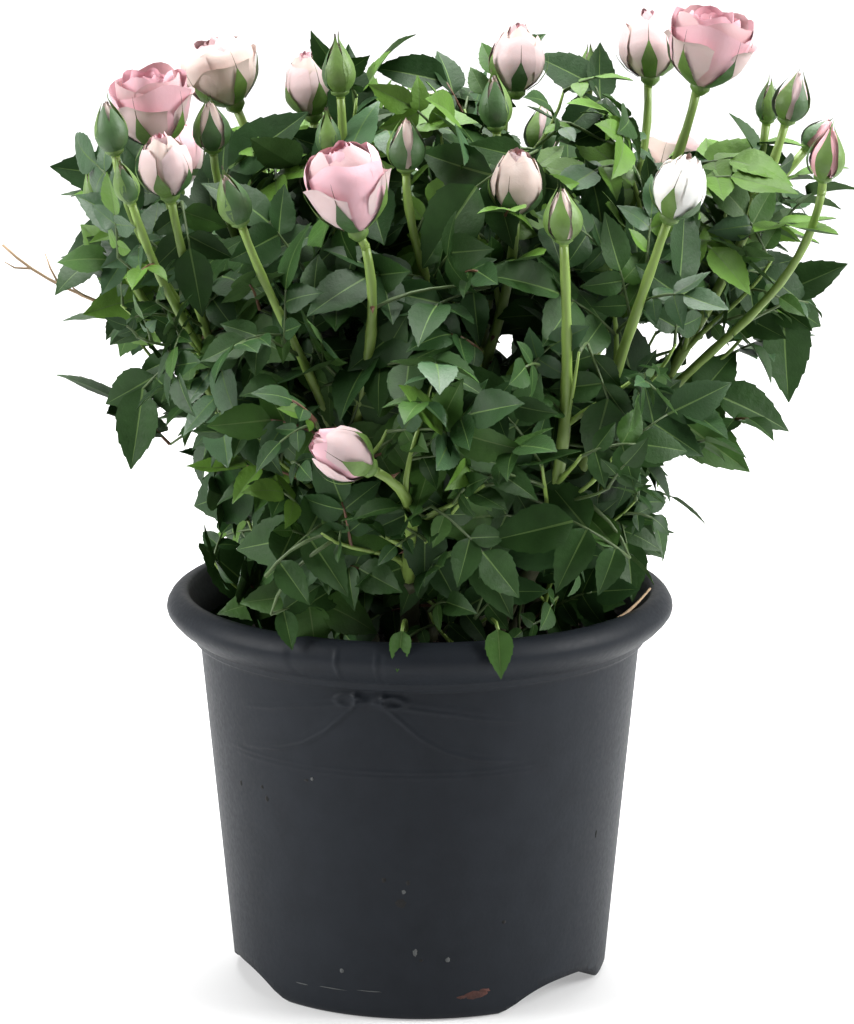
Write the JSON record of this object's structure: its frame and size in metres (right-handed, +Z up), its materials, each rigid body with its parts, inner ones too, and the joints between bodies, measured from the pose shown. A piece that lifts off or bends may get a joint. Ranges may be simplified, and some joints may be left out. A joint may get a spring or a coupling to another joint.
{
  "type": "potted rose bush",
  "caption": "Bushy patio rose in bud and bloom, with a spreading leafy crown on slender canes, growing in a tapered round nursery pot.",
  "frame": {"origin": "centre of the pot's flat underside", "axes": "+Z up along the pot's axis, -Y towards the front of the bush, +X to the right as seen from the front"},
  "size_m": [0.3214, 0.289, 0.3852],
  "materials": {
    "pot": "satin",
    "compost": "matte",
    "cane": "satin",
    "foliage": "satin"
  },
  "bodies": {
    "root": {"pot": "pot", "compost": "compost", "cane_left": "cane", "cane_front_left": "cane", "cane_upper_left": "cane", "cane_centre_left": "cane", "cane_front_low": "cane", "cane_centre": "cane", "cane_upper_centre": "cane", "cane_front_right": "cane", "cane_right_front": "cane", "cane_upper_right": "cane", "cane_right": "cane", "cane_back_left": "cane", "cane_back": "cane", "cane_back_right": "cane", "foliage_left": "foliage", "foliage_front_left": "foliage", "foliage_upper_left": "foliage", "foliage_centre_left": "foliage", "foliage_front_low": "foliage", "foliage_centre": "foliage", "foliage_upper_centre": "foliage", "foliage_front_right": "foliage", "foliage_right_front": "foliage", "foliage_upper_right": "foliage", "foliage_right": "foliage", "foliage_back_left": "foliage", "foliage_back": "foliage", "foliage_back_right": "foliage", "low_shoot_1": "foliage", "low_shoot_2": "foliage", "low_shoot_3": "foliage", "low_shoot_4": "foliage", "low_shoot_5": "foliage", "low_shoot_6": "foliage", "low_shoot_7": "foliage", "low_shoot_8": "foliage"}
  },
  "joints": []
}
